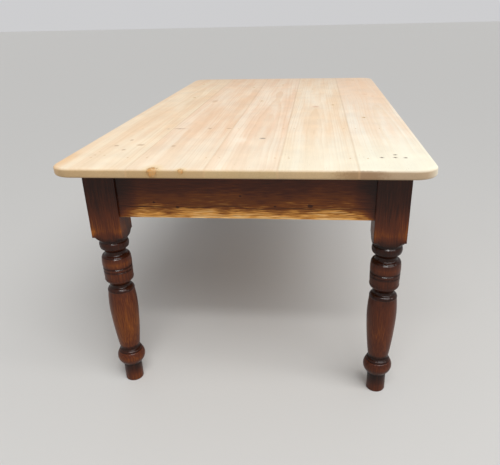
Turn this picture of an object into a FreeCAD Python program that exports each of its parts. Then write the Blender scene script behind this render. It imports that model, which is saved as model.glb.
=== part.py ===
import FreeCAD, Part
import math
import os
import Sketcher

# Farmhouse table: a plank top on a jointed underframe with turned legs.
# Lengths are millimetres. X runs along the end, Y along the table, Z up,
# and the origin is on the floor under the middle of the top.

SIZES = {
    # The table as a whole
    "table_height": 760,
    "top_length": 1838,
    "top_thickness": 24,
    "side_overhang": 49,
    "end_overhang": 93,
    # The top's boards, from the left seen from the near end
    "board_1_width": 212,
    "board_2_width": 201,
    "board_3_width": 183,
    "board_4_width": 198,
    "board_5_width": 196,
    "corner_radius": 62,
    "upper_edge_radius": 6,
    "lower_edge_radius": 5,
    # Legs
    "leg_width": 90,
    "turned_length": 528,
    "arris_radius": 2,
    # Rails and their joints with the legs
    "rail_depth": 145,
    "rail_thickness": 25,
    "rail_setback": 8,
    "tenon_thickness": 10,
    "tenon_length": 57,
    "tenon_lower_shoulder": 12,
    "haunch_drop": 30,
    "haunch_length": 12,
    "joint_clearance": 0.1,
    # What a mortise or blind hole has past the end of what stands in it
    "blind_end_gap": 1,
    # Cross bearers, dovetailed into the side rails
    "bearer_inset": 481,
    "bearer_width": 70,
    "bearer_depth": 32,
    "dovetail_length": 17,
    "dovetail_neck_width": 44,
    "dovetail_tail_width": 54,
    # Dowels in the boards' edge joints
    "dowel_radius": 4,
    "dowel_length": 50,
    "dowel_end_inset": 180,
    # Nails that hold the top, and the stopping over their heads
    "nail_length": 50,
    "nail_radius": 1.5,
    "nail_head_radius": 2.6,
    "nail_head_thickness": 1.2,
    "stopping_depth": 2.4,
    "nail_margin": 4,
    # Corner braces and their screws
    "brace_leg_clearance": 3,
    "brace_thickness": 28,
    "brace_depth": 60,
    "brace_drop": 5,
    "screw_radius": 2.2,
    "screw_head_radius": 4.2,
    "screw_head_thickness": 3,
    "screw_length": 34,
    "screw_seat": 14,
    "fastener_clearance": 0.1,
    # How far a cut runs past the wood that it removes
    "overrun": 5,
}

BOARDS = 5
DOWELS_PER_JOINT = 7

doc = FreeCAD.newDocument("FarmhouseTable")
sheet = doc.addObject("Spreadsheet::Sheet", "Sizes")
for row, (alias, length) in enumerate(SIZES.items(), start=1):
    sheet.set(f"A{row}", alias)
    sheet.set(f"B{row}", str(length))
    sheet.setAlias(f"B{row}", alias)
doc.recompute()


def now(expression):
    """What an expression comes to at the present sizes."""
    return float(sheet.evalExpression(expression))


# Places that several pieces share, worked out from the sizes
TOP_UNDERSIDE = "(Sizes.table_height - Sizes.top_thickness)"
BOARD_WIDTHS = [f"Sizes.board_{number}_width" for number in range(1, BOARDS + 1)]
TOP_WIDTH = f"({' + '.join(BOARD_WIDTHS)})"
HALF_WIDTH = f"({TOP_WIDTH} / 2)"
HALF_LENGTH = "(Sizes.top_length / 2)"
HALF_LEG = "(Sizes.leg_width / 2)"
LEG_X = f"({HALF_WIDTH} - Sizes.side_overhang - {HALF_LEG})"
LEG_Y = f"({HALF_LENGTH} - Sizes.end_overhang - {HALF_LEG})"
RAIL_X = f"({HALF_WIDTH} - Sizes.side_overhang - Sizes.rail_setback)"
RAIL_Y = f"({HALF_LENGTH} - Sizes.end_overhang - Sizes.rail_setback)"
RAIL_BOTTOM = f"({TOP_UNDERSIDE} - Sizes.rail_depth)"
TENON_INSET = "((Sizes.rail_thickness - Sizes.tenon_thickness) / 2)"
TENON_INNER = f"({HALF_LEG} - Sizes.rail_setback - {TENON_INSET} - Sizes.tenon_thickness)"
TENON_MIDDLE = f"({TENON_INNER} + Sizes.tenon_thickness / 2)"
MORTISE_DEPTH = "(Sizes.tenon_length + Sizes.blind_end_gap)"
BEARER_Y = f"({HALF_LENGTH} - Sizes.bearer_inset)"


def quarter_turned(x, y, quarters):
    """A place seen after that many quarter turns about Z."""
    for _ in range(quarters % 4):
        x, y = f"(-{y})", x
    return x, y


# Drawing and cutting

def new_body(label, x="0", y="0", z="0", quarters=0):
    """A piece of its own, standing at a place that follows the sheet."""
    body = doc.addObject("PartDesign::Body", label)
    body.Label = label
    turned = FreeCAD.Rotation(FreeCAD.Vector(0, 0, 1), 90 * quarters)
    body.Placement = FreeCAD.Placement(FreeCAD.Vector(0, 0, 0), turned)
    for axis, expression in zip("xyz", (x, y, z)):
        body.setExpression(f"Placement.Base.{axis}", expression)
    return body


def new_sketch(body, plane_role, offset="0"):
    """A sketch on one of the body's own planes, moved along its normal."""
    sketch = body.newObject("Sketcher::SketchObject", f"{body.Name}_sketch")
    planes = {feature.Role: feature for feature in body.Origin.OriginFeatures}
    sketch.AttachmentSupport = [(planes[plane_role], "")]
    sketch.MapMode = "FlatFace"
    sketch.setExpression("AttachmentOffset.Base.z", offset)
    return sketch


def constrain(sketch, ties):
    """Tie the measures of a sketch to the sheet, all in one go.

    A tie is (expression, kind, places), and one with no expression only joins.
    """
    first = sketch.ConstraintCount
    constraints = []
    for expression, kind, *where in ties:
        if expression:
            where.append(now(expression))
        constraints.append(Sketcher.Constraint(kind, *where))
    sketch.addConstraint(constraints)
    for index, (expression, *_) in enumerate(ties, start=first):
        if expression:
            sketch.setExpression(f"Constraints[{index}]", expression)


def arc_between(start, end, bulge):
    """The arc from start to end that swells to the right of its way by bulge.

    A sketch keeps arcs anticlockwise, so the second value says whether the
    arc runs the same way as the outline.
    """
    chord = end - start
    radius = (chord.Length ** 2 / 4 + bulge ** 2) / (2 * abs(bulge))
    right = FreeCAD.Vector(chord.y, -chord.x, 0) / chord.Length
    apex = (start + end) / 2 + right * bulge
    side = math.copysign(1, bulge)
    centre = apex - right * side * radius
    forward = bulge > 0
    first, last = (start, end) if forward else (end, start)
    angles = [math.atan2(at.y - centre.y, at.x - centre.x) for at in (first, last)]
    circle = Part.Circle(centre, FreeCAD.Vector(0, 0, 1), radius)
    return Part.ArcOfCircle(circle, *angles), forward


def draw_outline(sketch, corners):
    """A closed outline whose corners, and the arcs between them, follow the sheet.

    A corner is (x, y), or (x, y, bulge) where the stretch after it is an arc.
    """
    places = [FreeCAD.Vector(now(corner[0]), now(corner[1]), 0) for corner in corners]
    stretches = []
    for corner, start, end in zip(corners, places, places[1:] + places[:1]):
        if len(corner) == 3:
            curve, forward = arc_between(start, end, now(corner[2]))
        else:
            curve, forward = Part.LineSegment(start, end), True
        line = sketch.addGeometry(curve, False)
        stretches.append((line, 1, 2) if forward else (line, 2, 1))
    ties = []
    following = zip(corners, stretches, corners[1:] + corners[:1], stretches[1:] + stretches[:1])
    for corner, (line, start, end), next_corner, (next_line, next_start, _) in following:
        ties.append((None, "Coincident", line, end, next_line, next_start))
        ties.append((corner[0], "DistanceX", -1, 1, line, start))
        ties.append((corner[1], "DistanceY", -1, 1, line, start))
        if len(corner) == 3:
            across = f"({next_corner[0]} - {corner[0]})"
            along = f"({next_corner[1]} - {corner[1]})"
            bulge = f"abs({corner[2]})"
            chord_square = f"({across} * {across} + {along} * {along})"
            radius = f"({chord_square} / 4 + {bulge} * {bulge}) / (2 * {bulge})"
            ties.append((radius, "Radius", line))
    constrain(sketch, ties)


def draw_rectangle(sketch, left, low, right, high):
    """A rectangle between two opposite corners."""
    draw_outline(sketch, [(left, low), (right, low), (right, high), (left, high)])


def draw_circles(sketch, centres, radius):
    """Circles of one radius at each centre."""
    ties = []
    for number, (x, y) in enumerate(centres):
        place = FreeCAD.Vector(now(x), now(y), 0)
        circle = Part.Circle(place, FreeCAD.Vector(0, 0, 1), now(radius))
        line = sketch.addGeometry(circle, False)
        ties.append((x, "DistanceX", -1, 1, line, 3))
        ties.append((y, "DistanceY", -1, 1, line, 3))
        ties.append((None, "Equal", line, line - 1) if number else (radius, "Radius", line))
    constrain(sketch, ties)


def pad(body, sketch, length, back=False):
    """Wood added along the sketch's normal, or the other way."""
    feature = body.newObject("PartDesign::Pad", f"{body.Name}_pad")
    feature.Profile = sketch
    feature.Reversed = back
    feature.setExpression("Length", length)
    doc.recompute()
    return feature


def pocket(body, sketch, length, along=False):
    """Wood cut away against the sketch's normal, or along it."""
    before = body.Shape.Volume
    feature = body.newObject("PartDesign::Pocket", f"{body.Name}_pocket")
    feature.Profile = sketch
    feature.Reversed = along
    feature.setExpression("Length", length)
    doc.recompute()
    if body.Shape.Volume >= before:
        raise ValueError(f"{feature.Name} cuts nothing")
    return feature


def round_edges(body, radius, wanted):
    """Round the edges of the body that the test picks by their middle."""
    base = body.Tip
    names = []
    for number, edge in enumerate(base.Shape.Edges, start=1):
        first, last = edge.ParameterRange
        if wanted(edge.valueAt((first + last) / 2), edge):
            names.append(f"Edge{number}")
    feature = body.newObject("PartDesign::Fillet", f"{body.Name}_fillet")
    feature.Base = (base, names)
    feature.setExpression("Radius", radius)
    doc.recompute()
    return feature


def upright(edge):
    """Whether an edge stands along Z."""
    return abs(edge.BoundBox.ZLength - edge.Length) < Part.Precision.confusion()


def close(one, other):
    """Whether two lengths are the same but for rounding."""
    return abs(one - other) < now("Sizes.joint_clearance") / 2


# Where the nails stand, as (x, y) seen from above. The pattern on one leg is
# measured from the leg's axis, and keeps clear of both mortises.
NAIL_FROM_TENON = f"(Sizes.nail_margin - {TENON_INNER})"
FAR_NAIL_SHARE = 0.40
SIDE_NAIL_SHARE = 0.14
MIDDLE_NAIL_SHARE = 0.02
LEG_NAILS = [
    (NAIL_FROM_TENON, f"({FAR_NAIL_SHARE} * Sizes.leg_width)"),
    (f"({SIDE_NAIL_SHARE} * Sizes.leg_width)", f"(-{MIDDLE_NAIL_SHARE} * Sizes.leg_width)"),
    (NAIL_FROM_TENON, f"({MIDDLE_NAIL_SHARE} * Sizes.leg_width)"),
    (f"({HALF_LEG} - {MORTISE_DEPTH} - Sizes.nail_margin)", f"(-{TENON_MIDDLE})"),
]

# Nails in a board's width: near its joints, and in an outer board also
# half way to its outer edge, over the bearer but clear of the side rail
INNER_BOARD_SHARES = (0.11, 0.92)
LEFT_BOARD_SHARES = (0.5, 0.92)
RIGHT_BOARD_SHARES = (0.11, 0.5)
LEFT_RAIL_SHARES = (0.85,)
RIGHT_RAIL_SHARES = (0.15,)

LEGS = {
    "near_left": (f"(-{LEG_X})", f"(-{LEG_Y})", 0),
    "near_right": (LEG_X, f"(-{LEG_Y})", 1),
    "far_right": (LEG_X, LEG_Y, 2),
    "far_left": (f"(-{LEG_X})", LEG_Y, 3),
}


def board_left(number):
    """The X of a board's left edge."""
    return f"({' + '.join([f'(-{HALF_WIDTH})'] + BOARD_WIDTHS[:number - 1])})"


def nails_across(outer_left_shares, outer_right_shares):
    """The X of each nail in a row across the whole top."""
    inner_boards = [INNER_BOARD_SHARES] * (BOARDS - 2)
    shares = [outer_left_shares] + inner_boards + [outer_right_shares]
    return [
        f"({board_left(number)} + {share} * {BOARD_WIDTHS[number - 1]})"
        for number, board_shares in enumerate(shares, start=1)
        for share in board_shares
    ]


BEARER_NAIL_XS = nails_across(LEFT_BOARD_SHARES, RIGHT_BOARD_SHARES)
END_RAIL_NAIL_XS = nails_across(LEFT_RAIL_SHARES, RIGHT_RAIL_SHARES)
END_RAIL_NAIL_Y = f"({RAIL_Y} - Sizes.rail_thickness / 2)"


def nail_groups():
    """Every nail's place on the whole table: over the legs, then the near and far rows."""
    over_legs = []
    for leg_x, leg_y, quarters in LEGS.values():
        for x, y in LEG_NAILS:
            turned_x, turned_y = quarter_turned(x, y, quarters)
            over_legs.append((f"({leg_x} + {turned_x})", f"({leg_y} + {turned_y})"))
    rows = [
        [(x, f"({sign}{BEARER_Y})") for x in BEARER_NAIL_XS]
        + [(x, f"({sign}{END_RAIL_NAIL_Y})") for x in END_RAIL_NAIL_XS]
        for sign in ("-", "+")
    ]
    return [over_legs] + rows


NAIL_GROUPS = nail_groups()
NAIL_HOLE_RADIUS = "(Sizes.nail_radius + Sizes.fastener_clearance)"
PUNCHED_RADIUS = "(Sizes.nail_head_radius + Sizes.fastener_clearance)"
PUNCHED_DEPTH = "(Sizes.stopping_depth + Sizes.nail_head_thickness)"
NAIL_BELOW_TOP = "(Sizes.nail_length + Sizes.stopping_depth - Sizes.top_thickness)"
NAIL_HOLE_DEPTH = f"({NAIL_BELOW_TOP} + Sizes.blind_end_gap)"


# Top boards: planed planks, laid edge to edge along the table. The two outer
# ones carry the rounded corners, and every outside edge is eased.

DOWEL_HOLE_RADIUS = "(Sizes.dowel_radius + Sizes.fastener_clearance)"
DOWEL_HOLE_DEPTH = "(Sizes.dowel_length / 2 + Sizes.blind_end_gap)"
DOWEL_FIRST = f"(Sizes.dowel_end_inset - {HALF_LENGTH})"
DOWEL_PITCH = f"((Sizes.top_length - 2 * Sizes.dowel_end_inset) / {DOWELS_PER_JOINT - 1})"
DOWEL_PLACES = [
    (f"({DOWEL_FIRST} + {step} * {DOWEL_PITCH})", "(Sizes.top_thickness / 2)")
    for step in range(DOWELS_PER_JOINT)
]


def make_top_board(number):
    left = board_left(number)
    width = BOARD_WIDTHS[number - 1]
    body = new_body(f"top_board_{number}", x=left, z=TOP_UNDERSIDE)
    outline = new_sketch(body, "XY_Plane")
    draw_rectangle(outline, "0", f"(-{HALF_LENGTH})", width, HALF_LENGTH)
    pad(body, outline, "Sizes.top_thickness")

    outer_side = {1: "0", BOARDS: width}.get(number)
    if outer_side:
        round_edges(
            body, "Sizes.corner_radius",
            lambda at, edge: upright(edge) and close(at.x, now(outer_side)),
        )
    joints = [side for side in ("0", width) if side != outer_side]

    def outside(at):
        return not any(close(at.x, now(side)) for side in joints)

    for height, radius in (
        ("Sizes.top_thickness", "Sizes.upper_edge_radius"),
        ("0", "Sizes.lower_edge_radius"),
    ):
        round_edges(
            body, radius,
            lambda at, edge: close(at.z, now(height)) and close(edge.BoundBox.ZLength, 0) and outside(at),
        )

    for side in joints:
        sketch = new_sketch(body, "YZ_Plane", side)
        draw_circles(sketch, DOWEL_PLACES, DOWEL_HOLE_RADIUS)
        pocket(body, sketch, DOWEL_HOLE_DEPTH, along=side == "0")

    low, high = now(left), now(left) + now(width)
    here = [
        (f"({x} - {left})", y)
        for group in NAIL_GROUPS
        for x, y in group
        if low < now(x) < high
    ]
    for radius, depth in (
        (PUNCHED_RADIUS, PUNCHED_DEPTH),
        (NAIL_HOLE_RADIUS, "(Sizes.top_thickness + Sizes.overrun)"),
    ):
        sketch = new_sketch(body, "XY_Plane", "Sizes.top_thickness")
        draw_circles(sketch, here, radius)
        pocket(body, sketch, depth)
    return body


# Dowels: short round pegs, half in one board's edge and half in the next

def make_edge_dowels():
    body = new_body("edge_dowels", z=TOP_UNDERSIDE)
    for number in range(2, BOARDS + 1):
        start = f"({board_left(number)} - Sizes.dowel_length / 2)"
        sketch = new_sketch(body, "YZ_Plane", start)
        draw_circles(sketch, DOWEL_PLACES, "Sizes.dowel_radius")
        pad(body, sketch, "Sizes.dowel_length")
    return body


# Nails: round shanks under flat heads, punched below the surface, and the
# stopping that fills each hole level with the boards

def make_top_nails():
    body = new_body("top_nails", z="Sizes.table_height")
    for radius, start, end in (
        ("Sizes.nail_head_radius", "Sizes.stopping_depth", PUNCHED_DEPTH),
        ("Sizes.nail_radius", PUNCHED_DEPTH, "(Sizes.stopping_depth + Sizes.nail_length)"),
    ):
        for group in NAIL_GROUPS:
            sketch = new_sketch(body, "XY_Plane", f"(-{start})")
            draw_circles(sketch, group, radius)
            pad(body, sketch, f"({end} - {start})", back=True)
    return body


def make_nail_stopping():
    body = new_body("nail_stopping", z="Sizes.table_height")
    for group in NAIL_GROUPS:
        sketch = new_sketch(body, "XY_Plane")
        draw_circles(sketch, group, "Sizes.nail_head_radius")
        pad(body, sketch, "Sizes.stopping_depth", back=True)
    return body


# Legs: a square blank, turned below the rails on the lathe, one element after
# another. Heights are shares of the turned length, radii and bulges shares of
# half the leg's width, and a bulge rounds the stretch that follows, or
# hollows it when it is negative.

TURNING_SHARES = {
    # The flat under the block's corners, the rounded pommel, quirk and collar
    "collar": (
        (1.000, 1.20, 0.06),
        (0.976, 0.99, 0),
        (0.972, 0.89, 0),
        (0.959, 0.875, 0),
        (0.953, 0.935, 0.04),
        (0.918, 0.92, -0.07),
        (0.884, 0.69, 0),
    ),
    # Upper neck, round shoulder, and a barrel with two scribed lines
    "barrel": (
        (0.884, 0.69, -0.03),
        (0.874, 0.75, 0.03),
        (0.866, 0.92, 0),
        (0.8635, 0.91, 0),
        (0.8595, 0.95, 0.02),
        (0.800, 0.97, 0),
        (0.797, 0.94, 0),
        (0.794, 0.97, 0),
        (0.779, 0.97, 0),
        (0.776, 0.95, 0),
        (0.773, 0.97, 0),
        (0.732, 0.95, 0.06),
        (0.704, 0.84, -0.03),
        (0.678, 0.68, 0),
    ),
    # Lower neck, round shoulder, and a vase that tapers to the ankle
    "vase": (
        (0.678, 0.68, -0.02),
        (0.667, 0.73, 0.025),
        (0.646, 0.91, 0),
        (0.642, 0.89, 0.052),
        (0.473, 0.95, 0.03),
        (0.248, 0.70, -0.01),
        (0.233, 0.66, 0),
    ),
    # Ankle ring, ball and foot, cut to length past the floor
    "foot": (
        (0.233, 0.66, -0.01),
        (0.228, 0.70, 0.035),
        (0.218, 0.81, 0),
        (0.216, 0.78, 0),
        (0.213, 0.80, 0.23),
        (0.126, 0.67, -0.02),
        (0.111, 0.64, 0),
        (0.005, 0.64, 0),
        (0.000, 0.61, 0),
        (-0.010, 0.61, 0),
    ),
}
CLEAR_OF_CORNERS_SHARE = 1.5


def turning_outline(element_shares):
    """What the lathe takes away, between the turned leg and the blank's corners."""
    corners = []
    for height_share, radius_share, bulge_share in element_shares:
        corner = (f"({radius_share} * {HALF_LEG})", f"({height_share} * Sizes.turned_length)")
        if bulge_share:
            corner += (f"({-bulge_share} * {HALF_LEG})",)
        corners.append(corner)
    clear = f"({CLEAR_OF_CORNERS_SHARE} * {HALF_LEG})"
    return [(clear, corners[0][1])] + corners + [(clear, corners[-1][1])]


def turn(body, element):
    """Turn one element of a leg about its axis."""
    before = body.Shape.Volume
    outline = new_sketch(body, "XZ_Plane")
    draw_outline(outline, turning_outline(TURNING_SHARES[element]))
    groove = body.newObject("PartDesign::Groove", f"{body.Name}_{element}")
    groove.Profile = outline
    groove.ReferenceAxis = (outline, ["V_Axis"])
    groove.Angle = 360
    doc.recompute()
    if body.Shape.Volume >= before:
        raise ValueError(f"{groove.Name} cuts nothing")


TENON_LOW = f"({RAIL_BOTTOM} + Sizes.tenon_lower_shoulder - Sizes.joint_clearance)"
TENON_HIGH = f"({TOP_UNDERSIDE} - Sizes.haunch_drop + Sizes.joint_clearance)"
ABOVE_LEG = f"({TOP_UNDERSIDE} + Sizes.overrun)"
MORTISE_OUTER = f"(-{TENON_INNER} - Sizes.tenon_thickness - Sizes.joint_clearance)"
MORTISE_INNER = f"(Sizes.joint_clearance - {TENON_INNER})"
HAUNCH_SOCKET_DEPTH = "(Sizes.haunch_length + Sizes.joint_clearance)"


def make_leg(corner):
    x, y, quarters = LEGS[corner]
    body = new_body(f"leg_{corner}", x=x, y=y, quarters=quarters)
    section = new_sketch(body, "XY_Plane")
    draw_rectangle(section, f"(-{HALF_LEG})", f"(-{HALF_LEG})", HALF_LEG, HALF_LEG)
    pad(body, section, TOP_UNDERSIDE)
    round_edges(body, "Sizes.arris_radius", lambda at, edge: upright(edge))

    for element in TURNING_SHARES:
        turn(body, element)

    # Mortises for the end rail, on the +X face, and for the side rail, on +Y,
    # each with a socket above it for the tenon's haunch
    for low, high, depth in (
        (TENON_LOW, TENON_HIGH, MORTISE_DEPTH),
        (f"({TENON_HIGH} - Sizes.joint_clearance)", ABOVE_LEG, HAUNCH_SOCKET_DEPTH),
    ):
        end_sketch = new_sketch(body, "YZ_Plane", HALF_LEG)
        draw_rectangle(end_sketch, MORTISE_OUTER, low, MORTISE_INNER, high)
        pocket(body, end_sketch, depth)
        side_sketch = new_sketch(body, "XZ_Plane", f"(-{HALF_LEG})")
        draw_rectangle(side_sketch, MORTISE_OUTER, low, MORTISE_INNER, high)
        pocket(body, side_sketch, depth, along=True)

    nail_sketch = new_sketch(body, "XY_Plane", TOP_UNDERSIDE)
    draw_circles(nail_sketch, LEG_NAILS, NAIL_HOLE_RADIUS)
    pocket(body, nail_sketch, NAIL_HOLE_DEPTH)
    return body


# Rails: planks on edge with a haunched tenon at each end. In its own frame a
# rail runs along X with its outer face at Y zero and its lower edge at Z zero.

# The braces meet each rail this far from where two rails' inner faces cross
BRACE_LEG_REACH = "(Sizes.leg_width - Sizes.rail_setback - Sizes.rail_thickness)"
BRACE_NEAR = f"(2 * {BRACE_LEG_REACH} + Sizes.brace_leg_clearance * sqrt(2))"
BRACE_FAR = f"({BRACE_NEAR} + Sizes.brace_thickness * sqrt(2))"
SCREW_ALONG_SHARE = 0.7
SCREW_HEIGHT_SHARES = (0.25, 0.75)
BRACE_SCREW = (
    f"({BRACE_NEAR} + {SCREW_ALONG_SHARE} * ({BRACE_FAR} - {BRACE_NEAR} - Sizes.screw_seat))"
)
BRACE_TOP = "(Sizes.rail_depth - Sizes.brace_drop)"
BRACE_SCREW_HEIGHTS = [
    f"({BRACE_TOP} - {share} * Sizes.brace_depth)" for share in SCREW_HEIGHT_SHARES
]
SCREW_HOLE_RADIUS = "(Sizes.screw_radius + Sizes.fastener_clearance)"
SCREW_IN_RAIL = "(Sizes.screw_length - Sizes.screw_head_thickness - Sizes.screw_seat)"

RAILS = {
    "end_rail_near": ("0", f"(-{RAIL_Y})", 0),
    "side_rail_right": (RAIL_X, "0", 1),
    "end_rail_far": ("0", RAIL_Y, 2),
    "side_rail_left": (f"(-{RAIL_X})", "0", 3),
}
DOVETAIL_NECK = "(Sizes.dovetail_neck_width / 2 + Sizes.joint_clearance)"
DOVETAIL_TAIL = "(Sizes.dovetail_tail_width / 2 + Sizes.joint_clearance)"
SOCKET_BACK = "(Sizes.rail_thickness - Sizes.dovetail_length - Sizes.joint_clearance)"


def make_rail(label):
    x, y, quarters = RAILS[label]
    at_end = label.startswith("end")
    leg_place, corner_place = (LEG_X, RAIL_X) if at_end else (LEG_Y, RAIL_Y)
    shoulder = f"({leg_place} - {HALF_LEG})"
    body = new_body(label, x=x, y=y, z=RAIL_BOTTOM, quarters=quarters)
    face = new_sketch(body, "XZ_Plane")
    draw_rectangle(face, f"(-{shoulder})", "0", shoulder, "Sizes.rail_depth")
    pad(body, face, "Sizes.rail_thickness", back=True)
    round_edges(
        body, "Sizes.arris_radius",
        lambda at, edge: close(at.z, 0) and close(at.x, 0),
    )

    tenon_end = f"({shoulder} + Sizes.tenon_length)"
    haunch_end = f"({shoulder} + Sizes.haunch_length)"
    haunch_low = "(Sizes.rail_depth - Sizes.haunch_drop)"
    tenons = new_sketch(body, "XZ_Plane", f"(-{TENON_INSET})")
    right_side = [
        (tenon_end, "Sizes.tenon_lower_shoulder"),
        (tenon_end, haunch_low),
        (haunch_end, haunch_low),
        (haunch_end, "Sizes.rail_depth"),
    ]
    left_side = [(f"(-{place})", height) for place, height in reversed(right_side)]
    draw_outline(tenons, right_side + left_side)
    pad(body, tenons, "Sizes.tenon_thickness", back=True)

    # Pilot holes for the braces' screws, from the inner face
    inner_face = new_sketch(body, "XZ_Plane", "(-Sizes.rail_thickness)")
    brace_corner = f"({corner_place} - Sizes.rail_thickness)"
    screw_places = [
        (f"({sign} * ({brace_corner} - {BRACE_SCREW}))", height)
        for sign in (-1, 1)
        for height in BRACE_SCREW_HEIGHTS
    ]
    draw_circles(inner_face, screw_places, SCREW_HOLE_RADIUS)
    pocket(body, inner_face, f"({SCREW_IN_RAIL} + Sizes.blind_end_gap)", along=True)

    # An end rail's top edge has the top's nails in it, a side rail's the
    # sockets for the cross bearers
    if at_end:
        sign = 1 if label == "end_rail_near" else -1
        middle = "(Sizes.rail_thickness / 2)"
        nail_places = [(f"({sign} * {x})", middle) for x in END_RAIL_NAIL_XS]
        nail_sketch = new_sketch(body, "XY_Plane", "Sizes.rail_depth")
        draw_circles(nail_sketch, nail_places, NAIL_HOLE_RADIUS)
        pocket(body, nail_sketch, NAIL_HOLE_DEPTH)
    else:
        for sign in (-1, 1):
            centre = f"({sign} * {BEARER_Y})"
            socket = new_sketch(body, "XY_Plane", "Sizes.rail_depth")
            draw_outline(socket, [
                (f"({centre} - {DOVETAIL_TAIL})", SOCKET_BACK),
                (f"({centre} + {DOVETAIL_TAIL})", SOCKET_BACK),
                (f"({centre} + {DOVETAIL_NECK})", "Sizes.rail_thickness"),
                (f"({centre} - {DOVETAIL_NECK})", "Sizes.rail_thickness"),
            ])
            pocket(body, socket, "(Sizes.bearer_depth + Sizes.joint_clearance)")
    return body


# Cross bearers: flat battens under the boards, with a dovetail at each end
# that drops into the side rail's top edge

def make_cross_bearer(label, sign):
    body = new_body(label, y=f"({sign} * {BEARER_Y})", z=f"({TOP_UNDERSIDE} - Sizes.bearer_depth)")
    shoulder = f"({RAIL_X} - Sizes.rail_thickness)"
    end = f"({shoulder} + Sizes.dovetail_length)"
    half_width = "(Sizes.bearer_width / 2)"
    half_neck = "(Sizes.dovetail_neck_width / 2)"
    half_tail = "(Sizes.dovetail_tail_width / 2)"
    outline = new_sketch(body, "XY_Plane")
    right_side = [
        (shoulder, f"(-{half_width})"),
        (shoulder, f"(-{half_neck})"),
        (end, f"(-{half_tail})"),
        (end, half_tail),
        (shoulder, half_neck),
        (shoulder, half_width),
    ]
    left_side = [(f"(-{place})", across) for place, across in reversed(right_side)]
    draw_outline(outline, right_side + left_side)
    pad(body, outline, "Sizes.bearer_depth")

    nail_sketch = new_sketch(body, "XY_Plane", "Sizes.bearer_depth")
    draw_circles(nail_sketch, [(place, "0") for place in BEARER_NAIL_XS], NAIL_HOLE_RADIUS)
    pocket(body, nail_sketch, NAIL_HOLE_DEPTH)
    return body


# Corner braces: blocks set across the corner behind each leg. In its own
# frame a brace lies in the corner where the rails' inner faces would cross.

def brace_corner_place(corner):
    """Where the inner faces of the two rails at a corner would cross."""
    _, _, quarters = LEGS[corner]
    x = f"({RAIL_X} - Sizes.rail_thickness)"
    y = f"({RAIL_Y} - Sizes.rail_thickness)"
    return {
        0: (f"(-{x})", f"(-{y})"),
        1: (x, f"(-{y})"),
        2: (x, y),
        3: (f"(-{x})", y),
    }[quarters], quarters


def make_corner_brace(corner):
    (x, y), quarters = brace_corner_place(corner)
    low = f"({BRACE_TOP} - Sizes.brace_depth)"
    body = new_body(f"corner_brace_{corner}", x=x, y=y, z=RAIL_BOTTOM, quarters=quarters)
    outline = new_sketch(body, "XY_Plane", low)
    draw_outline(outline, [(BRACE_NEAR, "0"), (BRACE_FAR, "0"), ("0", BRACE_FAR), ("0", BRACE_NEAR)])
    pad(body, outline, "Sizes.brace_depth")

    # A hole for each screw, and the counterbore that its head sits in
    for role, away in (("XZ_Plane", -1), ("YZ_Plane", 1)):
        places = [(BRACE_SCREW, height) for height in BRACE_SCREW_HEIGHTS]
        for radius, start in (
            (SCREW_HOLE_RADIUS, "0"),
            ("(Sizes.screw_head_radius + Sizes.fastener_clearance)", "Sizes.screw_seat"),
        ):
            sketch = new_sketch(body, role, f"({away} * {start})")
            draw_circles(sketch, places, radius)
            pocket(body, sketch, "Sizes.brace_thickness", along=away > 0)
    return body


def make_brace_screws():
    body = new_body("brace_screws", z=RAIL_BOTTOM)
    for corner in LEGS:
        (x, y), quarters = brace_corner_place(corner)
        # A screw through the end rail's face, then one through the side rail's
        for place in ((BRACE_SCREW, "0"), ("0", BRACE_SCREW)):
            into_end_rail = place[1] == "0"
            turned = quarter_turned(*place, quarters)
            at_x, at_y = f"({x} + {turned[0]})", f"({y} + {turned[1]})"
            along_y = into_end_rail == (quarters % 2 == 0)
            inward = 1 if now(at_y if along_y else at_x) < 0 else -1
            role, across, face = ("XZ_Plane", at_x, at_y) if along_y else ("YZ_Plane", at_y, at_x)
            normal = -1 if along_y else 1
            for radius, start, length in (
                ("Sizes.screw_head_radius", "Sizes.screw_seat", "Sizes.screw_head_thickness"),
                ("Sizes.screw_radius", f"(-{SCREW_IN_RAIL})", f"({SCREW_IN_RAIL} + Sizes.screw_seat)"),
            ):
                sketch = new_sketch(body, role, f"({normal} * ({face} + {inward} * {start}))")
                draw_circles(sketch, [(across, height) for height in BRACE_SCREW_HEIGHTS], radius)
                pad(body, sketch, length, back=inward * normal < 0)
    return body


pieces = [make_top_board(number) for number in range(1, BOARDS + 1)]
pieces.append(make_edge_dowels())
pieces += [make_leg(corner) for corner in LEGS]
pieces += [make_rail(label) for label in RAILS]
pieces.append(make_cross_bearer("cross_bearer_near", -1))
pieces.append(make_cross_bearer("cross_bearer_far", 1))
pieces += [make_corner_brace(corner) for corner in LEGS]
pieces.append(make_brace_screws())
pieces.append(make_top_nails())
pieces.append(make_nail_stopping())

# Nothing is written unless every feature and every piece came out whole
doc.recompute()
for item in doc.Objects:
    if {"Invalid", "Error"} & set(item.State):
        raise ValueError(f"{item.Name} failed: {item.State}")
for piece in pieces:
    if piece.Shape.isNull() or not piece.Shape.isValid():
        raise ValueError(f"{piece.Label} has no valid shape")

os.makedirs("parts", exist_ok=True)
for piece in pieces:
    piece.Shape.exportStep(f"parts/{piece.Label}.step")
    solids = len(piece.Shape.Solids)
    print(f"{piece.Label}: {solids} solids, {piece.Shape.Volume:.0f} cubic millimetres")
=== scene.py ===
import bmesh
import bpy
import math
from functools import partial
from mathutils import Matrix, Vector, noise


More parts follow.
